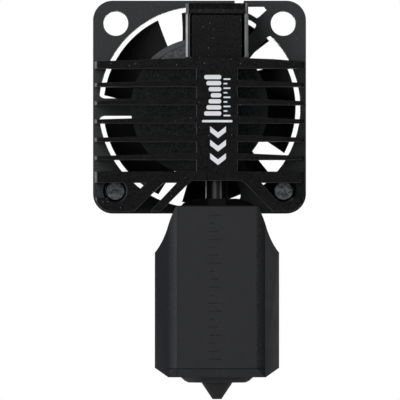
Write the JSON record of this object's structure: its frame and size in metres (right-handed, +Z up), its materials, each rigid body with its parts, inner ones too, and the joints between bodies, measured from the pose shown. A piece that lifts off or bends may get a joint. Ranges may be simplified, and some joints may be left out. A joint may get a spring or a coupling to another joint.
{
  "type": "printer hotend",
  "caption": "Filament printer hotend: finned heatsink with a cooling fan behind it, thin heatbreak, heater block inside a pull-off silicone sock, and a conical nozzle.",
  "frame": {"origin": "centre of the nozzle tip, where the plastic leaves", "axes": "+Z up the filament path, +Y from the toolhead side towards the cooling fan, +X to the right as seen from the toolhead side"},
  "size_m": [0.0254, 0.0372, 0.0475],
  "materials": {
    "heatsink": "black anodised, fine blasted",
    "heatbreak": "polished thin tube",
    "heater_block": "milled",
    "nozzle": "dark hardened steel",
    "silicone_sock": "dark grey moulded silicone",
    "ceramic_heater": "fired, matte",
    "heater_clip": "sprung strip",
    "thermistor": "sleeve over a bead",
    "heater_leads": "braided glass sleeve",
    "heater_plug": "moulded",
    "heater_contacts": "tinned",
    "thermistor_leads": "fluoropolymer cover",
    "thermistor_plug": "moulded",
    "thermistor_contacts": "tinned",
    "fan_frame": "moulded, fine texture",
    "fan_screws": "blackened",
    "fan_label": "plain adhesive disc",
    "impeller": "moulded, satin",
    "rotor_yoke": "drawn",
    "rotor_magnet": "bonded ferrite",
    "rotor_shaft": "ground",
    "shaft_clip": "nylon",
    "bearing_sleeve": "sintered bronze",
    "thrust_washer": "nylon",
    "stator_core": "stacked laminations",
    "stator_insulators": "moulded",
    "stator_coils": "enamelled copper",
    "fan_circuit_board": "solder resist",
    "fan_driver_chip": "moulded",
    "fan_leads": "insulated",
    "fan_plug": "moulded",
    "fan_contacts": "tinned"
  },
  "bodies": {
    "hotend": {"heatsink": "heatsink", "heatbreak": "heatbreak", "heater_block": "heater_block", "nozzle": "nozzle", "ceramic_heater": "ceramic_heater", "heater_clip": "heater_clip", "thermistor": "thermistor", "heater_leads": "heater_leads", "heater_plug": "heater_plug", "heater_contacts": "heater_contacts", "thermistor_leads": "thermistor_leads", "thermistor_plug": "thermistor_plug", "thermistor_contacts": "thermistor_contacts", "fan_frame": "fan_frame", "fan_screws": "fan_screws", "fan_label": "fan_label", "bearing_sleeve": "bearing_sleeve", "thrust_washer": "thrust_washer", "stator_core": "stator_core", "stator_insulators": "stator_insulators", "stator_coils": "stator_coils", "fan_circuit_board": "fan_circuit_board", "fan_driver_chip": "fan_driver_chip", "fan_leads": "fan_leads", "fan_plug": "fan_plug", "fan_contacts": "fan_contacts"},
    "fan_rotor": {"impeller": "impeller", "rotor_yoke": "rotor_yoke", "rotor_magnet": "rotor_magnet", "rotor_shaft": "rotor_shaft", "shaft_clip": "shaft_clip"},
    "sock": {"silicone_sock": "silicone_sock"}
  },
  "joints": [
    {"name": "fan_spin", "type": "hinge", "parent": "hotend", "child": "fan_rotor", "pos_m": [-0.00208, 0.0099, 0.0348], "axis": [0, 1, 0], "continuous": true},
    {"name": "sock_pull", "type": "slide", "parent": "hotend", "child": "sock", "axis": [0, 0, -1], "range_m": [0, 0.025]}
  ]
}
